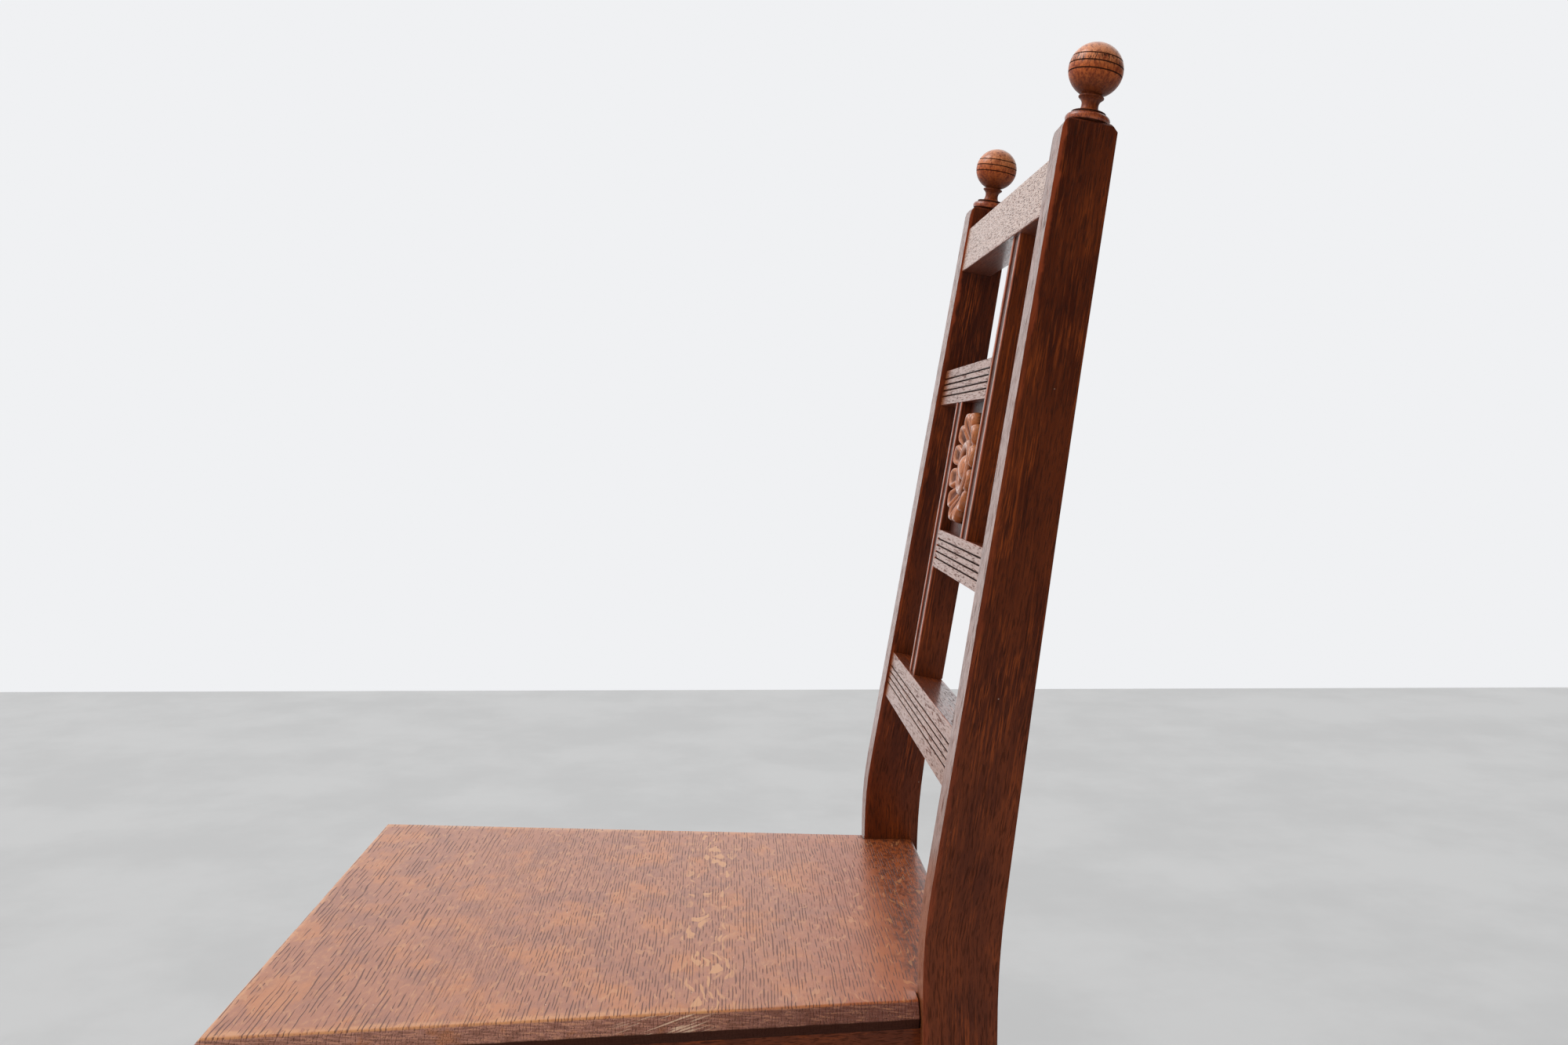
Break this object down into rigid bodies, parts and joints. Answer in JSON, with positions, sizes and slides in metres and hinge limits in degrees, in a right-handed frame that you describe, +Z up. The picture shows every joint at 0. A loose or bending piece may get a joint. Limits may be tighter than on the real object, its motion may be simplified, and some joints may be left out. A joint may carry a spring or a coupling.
{
  "type": "side chair",
  "caption": "Free-standing oak side chair with a moulded solid seat, raked back posts with ball finials, and a pinwheel of reeded rails and slats round a carved rosette panel.",
  "frame": {"origin": "on the floor, under the middle of the bounding box", "axes": "+Z up; the chair faces -Y; +X is the sitter's left; +Y is towards the back"},
  "size_m": [0.454, 0.496, 0.9788],
  "materials": {
    "seat_oak": "reddish-brown stained and varnished oak, worn lighter at the arrises",
    "frame_oak": "dark red-brown stained and varnished oak",
    "rail_oak": "dark red-brown stained and varnished oak, grain along the rail",
    "turned_oak": "warm brown stained and varnished turned oak",
    "carved_oak": "warm brown stained and varnished carved oak",
    "block_wood": "plain unfinished inner blocks",
    "screw_steel": "dull steel wood screws"
  },
  "bodies": {
    "root": {"seat_board": "seat_oak", "back_post_left": "frame_oak", "back_post_right": "frame_oak", "finial_left": "turned_oak", "finial_right": "turned_oak", "crest_rail": "rail_oak", "upper_reeded_rail": "rail_oak", "lower_reeded_rail": "rail_oak", "bottom_reeded_rail": "rail_oak", "slat_left": "frame_oak", "slat_right": "frame_oak", "carved_panel": "carved_oak", "front_leg_left": "frame_oak", "front_leg_right": "frame_oak", "front_apron": "rail_oak", "rear_apron": "rail_oak", "side_apron_left": "rail_oak", "side_apron_right": "rail_oak", "front_stretcher": "rail_oak", "rear_stretcher": "rail_oak", "side_stretcher_left": "rail_oak", "side_stretcher_right": "rail_oak", "corner_block_left": "block_wood", "corner_block_right": "block_wood", "rear_block_left": "block_wood", "rear_block_right": "block_wood", "wood_screws": "screw_steel"}
  },
  "joints": []
}
